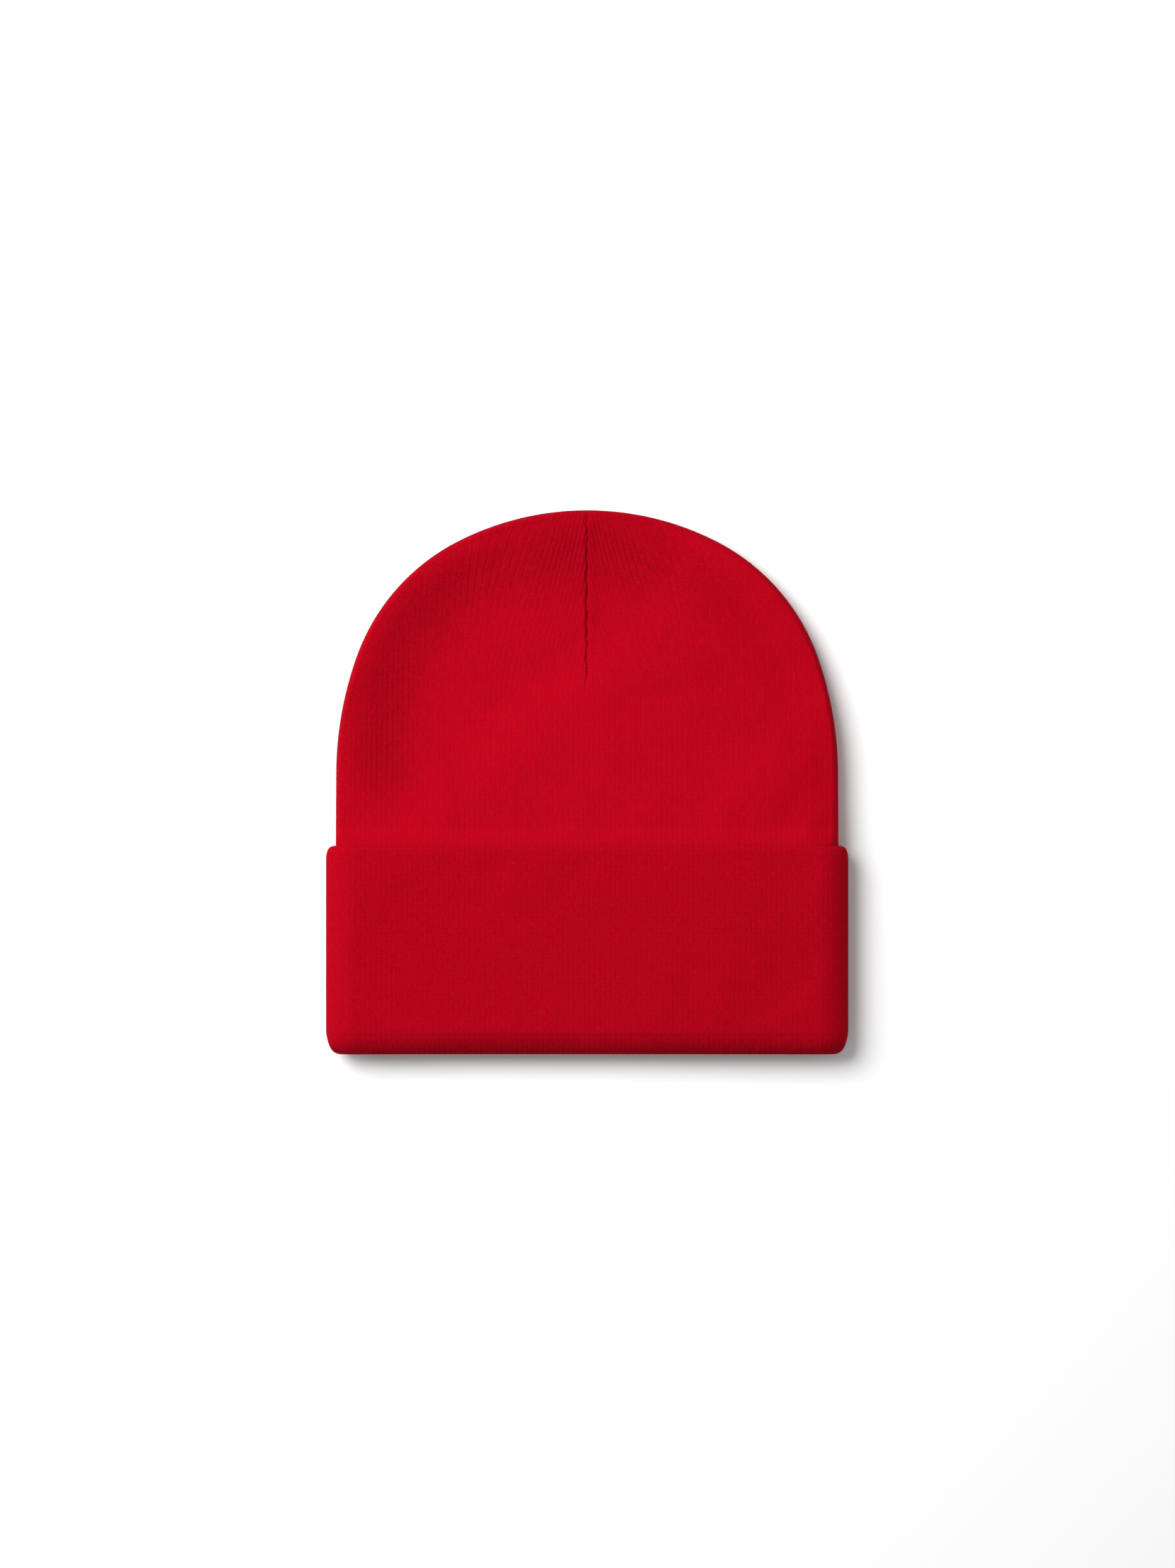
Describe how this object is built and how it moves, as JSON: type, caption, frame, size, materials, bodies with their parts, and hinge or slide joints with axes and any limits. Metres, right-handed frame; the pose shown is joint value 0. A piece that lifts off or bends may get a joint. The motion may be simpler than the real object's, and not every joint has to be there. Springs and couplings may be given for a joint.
{
  "type": "cuffed knit beanie",
  "caption": "Double-knit beanie laid flat, with a domed crown closed by dart seams, an inner lining and a deep turned-up cuff.",
  "frame": {"origin": "middle of the hat's length and width, on the surface that it lies on", "axes": "+X across the hat to the right as seen from the front, +Y from the mouth to the crown's tip, +Z from the back to the front, up as it lies"},
  "size_m": [0.216, 0.2252, 0.0187],
  "materials": {
    "knit": "fine ribbed acrylic knit, matt, soft",
    "seam": "sewn seam allowance and thread",
    "label": "blank woven satin tape"
  },
  "bodies": {
    "hat": {"outer_shell": "knit", "lining": "knit", "front_dart_seam": "seam", "back_dart_seam": "seam", "left_crown_seam": "seam", "right_crown_seam": "seam", "lining_front_dart_seam": "seam", "lining_back_dart_seam": "seam", "lining_left_crown_seam": "seam", "lining_right_crown_seam": "seam", "crown_tack": "seam", "label_stitch": "seam"},
    "cuff": {"cuff_face": "knit", "cuff_backing": "knit"},
    "label": {"care_label": "label"}
  },
  "joints": [
    {"name": "cuff_turn_down", "type": "slide", "parent": "hat", "child": "cuff", "axis": [0, -1, 0], "range_m": [0, 0.074]},
    {"name": "care_label_flap", "type": "hinge", "parent": "hat", "child": "label", "pos_m": [-0.048, -0.07, 0.0069], "axis": [-1, 0, 0], "range_deg": [0, 9]}
  ]
}
